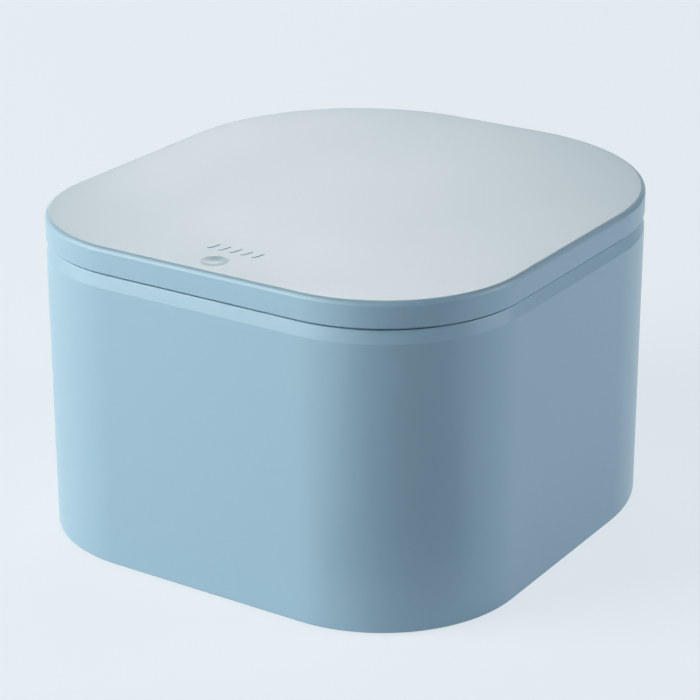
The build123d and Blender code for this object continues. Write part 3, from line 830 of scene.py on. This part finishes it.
def torsion_path(side):
    """The torsion spring's line: foot on the deck, coil round the pin, lifting leg under the liner."""
    leg, lift = math.radians(TORSION_LEG), math.radians(TORSION_LIFT)
    sweep = 2 * math.pi * TORSION_TURNS + lift - leg
    path = []
    for along in TORSION_FOOT:
        y = TORSION_RADIUS * math.cos(leg) + along * math.sin(leg)
        z = TORSION_RADIUS * math.sin(leg) - along * math.cos(leg)
        path.append((TORSION_START, y, z))
    steps = TORSION_STEPS * TORSION_TURNS
    for i in range(steps + 1):
        a = leg + sweep * i / steps
        x = TORSION_START + (TORSION_END - TORSION_START) * i / steps
        path.append((x, TORSION_RADIUS * math.cos(a), TORSION_RADIUS * math.sin(a)))
    bend_y = LIFT_BEND + TORSION_RADIUS * math.cos(lift)
    bend_z = TORSION_RADIUS * math.sin(lift) + bend_y / math.tan(lift)
    bend, tip = (TORSION_END, -LIFT_BEND, bend_z), (TORSION_END, -LIFT_LENGTH, LIFT_TIP_RISE)
    path += rounded_path([path[-1], bend, tip], LIFT_BEND_RADIUS)[1:]
    return [(side * x, HINGE_Y + y, HINGE_Z + z) for x, y, z in path]


def make_torsion_spring(name, side, node):
    """A spring that lifts the lid, set in place of its node."""
    spring = wound_wire(name, torsion_path(side), TORSION_WIRE)
    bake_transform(spring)
    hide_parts(node)


def make_latch_spring():
    """The fork's compression spring, with an end turn closed up at each end."""
    path = []
    steps = int(SPRING_STEPS * SPRING_TURNS)
    low, high = SPRING_LOW + SPRING_WIRE, SPRING_HIGH - SPRING_WIRE
    closed = 2 * SPRING_WIRE
    for i in range(steps + 1):
        t = SPRING_TURNS * i / steps
        if t < 1:
            z = low + closed * t
        elif t > SPRING_TURNS - 1:
            z = high - closed * (SPRING_TURNS - t)
        else:
            z = low + closed + (high - low - 2 * closed) * (t - 1) / (SPRING_TURNS - 2)
        a = 2 * math.pi * t
        path.append((SPRING_RADIUS * math.cos(a), SPRING_Y + SPRING_RADIUS * math.sin(a), z))
    spring = wound_wire("slider_spring", path, SPRING_WIRE)
    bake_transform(spring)
    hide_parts("latch_spring")


def make_follower():
    """The bent wire whose tip runs round the heart cam."""
    low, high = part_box("latch_follower")
    front, rear = low.y / MM, high.y / MM
    pivot_z, tip_z = low.z / MM + FOLLOWER_WIRE, high.z / MM - FOLLOWER_WIRE
    arm = LATCH_Y + COVER_FACE + FOLLOWER_WIRE + FOLLOWER_PLAY
    corners = [(0, rear, pivot_z), (0, arm, pivot_z), (0, arm, tip_z), (0, front, tip_z)]
    follower = wound_wire("cam_wire", rounded_path(corners, FOLLOWER_BEND), FOLLOWER_WIRE)
    settle(follower, "collar", "latch_follower")


def make_clip():
    """The bent strip that grips the striker's neck and saddles its tip."""
    left = [(-x, LATCH_Y, z) for x, z in reversed(CLIP_LINE)]
    right = [(x, LATCH_Y, z) for x, z in CLIP_LINE]
    path = rounded_path(left + right, CLIP_BEND, CLIP_BEND_STEPS)
    strip = strip_tree(drawn_spring_steel)
    clip = grow("striker_grip", line_curve("striker_grip", path), strip, CLIP_SIZES)
    settle(clip, "latch", "latch_clip")


# ---- Screws, pads and buffers ------------------------------------------------------------------------------
# Turned pieces are profiles of (height, radius). A screw's heights are from its seat, with the head below.
SCREW_BLANK = [(-1.0, 0.95), (-0.99, 1.25), (-0.93, 1.55), (-0.80, 1.78), (-0.58, 1.93), (-0.30, 2.0)]
SCREW_BLANK += [(-0.03, 1.99), (0.0, 1.95), (0.02, 0.9), (3.2, 0.86), (3.6, 0.7), (3.8, 0.45)]
SCREW_SIZES = {
    "Slot width": 0.5,
    "Slot depth": 1.0,
    "Head top": -1.0,
    "Shank radius": 0.86,
    "Thread start": 0.5,
    "Thread length": 2.7,
    "Thread pitch": 0.68,
}
PAD_PROFILE = [(0.0, 4.9), (0.04, 5.2), (0.14, 5.4), (0.3, 5.5), (1.36, 5.5), (1.4, 5.46)]
BUFFER_PROFILE = [(85.0, 2.76), (85.04, 2.8), (91.0, 2.8), (91.25, 2.7), (91.42, 2.5), (91.5, 2.2)]

# Levels that the screws' heads seat at, then where each set stands and which way up.
LINER_SCREW_SEAT, STRIKER_SCREW_SEAT, LATCH_SCREW_SEAT = 92.5, 90.6, 87.0
STRIKER_SCREWS = [(8.6, LATCH_Y), (-8.6, LATCH_Y)]
LATCH_SCREWS = [(10.5, LATCH_Y + 1.3), (-10.5, LATCH_Y + 1.3)]
BUFFERS = [(36.0, -74.5), (-36.0, -74.5)]
HEAD_DOWN, HEAD_UP = (0.0, 0.0, 0.0), (math.pi, 0.0, 0.0)


def make_screws(name, spots, seat, turn, body, node):
    """Screws that are all seated at one level, in one piece."""
    blank = line_curve(name, [(0, 0, z) for z, _ in SCREW_BLANK], [r for _, r in SCREW_BLANK])
    places = places_object(name + "_places", [(x, y, seat) for x, y in spots])
    screws = grow(name, blank, screw_tree(zinc_plated_steel, turn), SCREW_SIZES, places)
    settle(screws, body, node)


def make_buttons(name, spots, profile, body, node):
    """Turned rubber buttons, in one piece."""
    blank = line_curve(name, [(0, 0, z) for z, _ in profile], [r for _, r in profile])
    places = places_object(name + "_places", [(x, y, 0) for x, y in spots])
    buttons = grow(name, blank, button_tree(soft_rubber), {}, places)
    settle(buttons, body, node)


# ---- Camera, floor and light -------------------------------------------------------------------------------
# The camera's framing is in pixels of a square image, and its place and the lamps' are in metres.
IMAGE, SENSOR = 700, 36.0
FOCAL_PIXELS = 2475.0
CENTRE_PIXEL = (361.2, 308.9)
CAMERA_TURN, CAMERA_RISE, CAMERA_DISTANCE = 32.83, 21.0, 0.7396
CAMERA_TARGET = Vector((0, 0, 0.05995))
LAMP_TARGET = Vector((0, 0, 0.05))
LAMP_DISTANCE, FILL_DISTANCE = 1.6, 1.8
BACKGROUND, AMBIENT_TONE = "#EAF3F9", "#E8F0F6"
WARM, WARM_REAR, WARM_LOW, COOL, NEUTRAL = "#FFF8EC", "#FFF8F0", "#FFF8ED", "#DDEEFF", "#FFFFFF"
AMBIENT, FLOOR_SHOWN = 0.02, 0.8
FLOOR_HALF, FLOOR_THICKNESS = 4000.0, 10.0


def towards(turn, rise):
    """Unit vector from the object towards a place seen at a turn from the front and a rise, in degrees."""
    a, e = math.radians(turn), math.radians(rise)
    return Vector((math.sin(a) * math.cos(e), -math.cos(a) * math.cos(e), math.sin(e)))


def make_camera():
    """The camera, its lens shifted so that the middle of its view falls on the centre pixel."""
    lens = bpy.data.cameras.new("camera")
    lens.sensor_width = SENSOR
    lens.lens = FOCAL_PIXELS / IMAGE * lens.sensor_width
    lens.shift_x = -(CENTRE_PIXEL[0] - IMAGE / 2) / IMAGE
    lens.shift_y = (CENTRE_PIXEL[1] - IMAGE / 2) / IMAGE
    camera = link_to_scene("camera", lens)
    back = towards(CAMERA_TURN, CAMERA_RISE)
    camera.location = CAMERA_TARGET + back * CAMERA_DISTANCE
    camera.rotation_euler = back.to_track_quat("Z", "Y").to_euler()
    bpy.context.scene.camera = camera


def seen_rays(tree):
    """One where a ray comes from the camera, a reflection or a refraction."""
    path = add(tree, "ShaderNodeLightPath").outputs
    links = {0: path["Is Camera Ray"], 1: path["Is Glossy Ray"]}
    one = add(tree, "ShaderNodeMath", links, operation="MAXIMUM")
    links = {0: one.outputs[0], 1: path["Is Transmission Ray"]}
    return add(tree, "ShaderNodeMath", links, operation="MAXIMUM").outputs[0]


def make_world():
    """A world that shows the pale background and adds next to no light."""
    world = bpy.data.worlds.new("studio")
    bpy.context.scene.world = world
    world.use_nodes = True
    tree = world.node_tree
    tree.nodes.clear()
    lit = add(tree, "ShaderNodeBackground", {"Color": colour(AMBIENT_TONE), "Strength": AMBIENT})
    shown = add(tree, "ShaderNodeBackground", {"Color": colour(BACKGROUND), "Strength": 1.0})
    links = {0: seen_rays(tree), 1: lit.outputs[0], 2: shown.outputs[0]}
    mix = add(tree, "ShaderNodeMixShader", links)
    add(tree, "ShaderNodeOutputWorld", {"Surface": mix.outputs[0]})


def make_floor():
    """A pale floor that shows mostly the background's colour and keeps a soft shadow."""
    half = FLOOR_HALF
    plan = [(-half, -half), (half, -half), (half, half), (-half, half)]
    floor = as_object("floor", prism(plan, -FLOOR_THICKNESS, 0))
    made, tree = new_material("studio_floor")
    lit = add(tree, "ShaderNodeBsdfDiffuse", {"Color": colour(BACKGROUND)})
    shown = add(tree, "ShaderNodeEmission", {"Color": colour(BACKGROUND), "Strength": 1.0})
    share = add(tree, "ShaderNodeMath", {0: seen_rays(tree), 1: FLOOR_SHOWN}, operation="MULTIPLY")
    links = {0: share.outputs[0], 1: lit.outputs[0], 2: shown.outputs[0]}
    mix = add(tree, "ShaderNodeMixShader", links)
    add(tree, "ShaderNodeOutputMaterial", {"Surface": mix.outputs[0]})
    floor.data.materials.append(made)


def felt(name, tone):
    """Dull cloth for the cards that shape the reflections."""
    made, tree = new_material(name)
    surface = add(tree, "ShaderNodeBsdfPrincipled", {"Base Color": colour(tone), "Roughness": 0.95})
    add(tree, "ShaderNodeOutputMaterial", {"Surface": surface.outputs["BSDF"]})
    return made


def make_flag(name, corners, low, high, material):
    """A dark card that only reflections see. Its corners are turns in degrees and distances in mm."""
    plan = [(distance * towards(turn, 0).x, distance * towards(turn, 0).y) for turn, distance in corners]
    flag = as_object(name, prism(plan, low, high))
    flag.data.materials.append(material)
    flag.visible_camera = flag.visible_shadow = flag.visible_diffuse = False


def softbox(name, turn, rise, size, power, tone, distance=LAMP_DISTANCE, roll=0.0, glossy=True, diffuse=True):
    """A square-cornered lamp that faces the bin. Without glossy or diffuse, those rays don't see it."""
    lamp = bpy.data.lights.new(name, "AREA")
    lamp.shape = "RECTANGLE"
    lamp.size, lamp.size_y = size
    lamp.energy = power
    lamp.color = colour(tone)[:3]
    holder = link_to_scene(name, lamp)
    holder.visible_glossy = glossy
    holder.visible_diffuse = diffuse
    way = towards(turn, rise)
    holder.location = LAMP_TARGET + way * distance
    facing = way.to_track_quat("Z", "Y") @ Quaternion((0, 0, 1), math.radians(roll))
    holder.rotation_euler = facing.to_euler()


make_camera()
make_world()
make_floor()
# The upright card keeps the rim band on the right dark, and the one on the floor deepens the near corner.
dark_felt = felt("dark_felt", "#46494C")
make_flag("upright_flag", [(130, 480), (174, 480), (174, 484), (130, 484)], 2, 230, dark_felt)
floor_card = [(12, 120), (42, 132), (72, 120), (76, 500), (44, 620), (12, 500)]
make_flag("floor_flag", floor_card, 0.4, 1.2, dark_felt)
# Left and right, one lamp gives the light and a larger, dimmer sheet gives the reflection.
softbox("left_softbox", -42, 22, (1.0, 1.0), 33.0, WARM, glossy=False)
softbox("left_sheet", -42, 24, (2.2, 2.0), 36.0, WARM, diffuse=False)
softbox("right_softbox", 120, 12, (0.8, 0.7), 13.4, NEUTRAL, glossy=False)
softbox("right_sheet", 120, 22, (1.5, 1.5), 10.0, NEUTRAL, diffuse=False)
softbox("front_fill", -5, 15, (1.2, 0.8), 4.2, COOL, distance=FILL_DISTANCE)
softbox("rear_softbox", 213.5, 28.5, (0.62, 0.5), 4.75, WARM_REAR, roll=-20.0)
softbox("rear_low_softbox", 232, 14, (0.34, 0.32), 0.9, WARM_LOW)

# ---- The pieces --------------------------------------------------------------------------------------------
make_lid_shell()
make_bin_body()
make_torsion_spring("torsion_spring_right", 1, "hinge_spring_right")
make_torsion_spring("torsion_spring_left", -1, "hinge_spring_left")
make_latch_spring()
make_follower()
make_clip()

moulded("rim_frame", "frame_moulding", "collar", grained_polypropylene, 0.2)
moulded("lid_liner", "liner_moulding", "lid", grained_polypropylene, 0.2)
moulded("latch_housing", "latch_case", "collar", natural_acetal, 0.15)
moulded("latch_cover", "latch_back_plate", "collar", natural_acetal, 0.12)
moulded("latch_slider", "latch_fork", "latch", natural_acetal, 0.12)
moulded("striker", "striker_blade", "lid", natural_acetal, 0.15)
moulded("hinge_pin", "hinge_rod", "collar", drawn_spring_steel, 0.06)

make_screws("liner_fixings", LID_BOSSES, LINER_SCREW_SEAT, HEAD_DOWN, "lid", "liner_screws")
make_screws("striker_fixings", STRIKER_SCREWS, STRIKER_SCREW_SEAT, HEAD_DOWN, "lid", "striker_screws")
make_screws("latch_fixings", LATCH_SCREWS, LATCH_SCREW_SEAT, HEAD_UP, "collar", "latch_screws")
make_buttons("foot_pads", PAD_PLACES, PAD_PROFILE, "bin", "base_pads")
make_buttons("lid_buffers", BUFFERS, BUFFER_PROFILE, "collar", "lid_stops")

bpy.context.scene.view_settings.view_transform = "Standard"
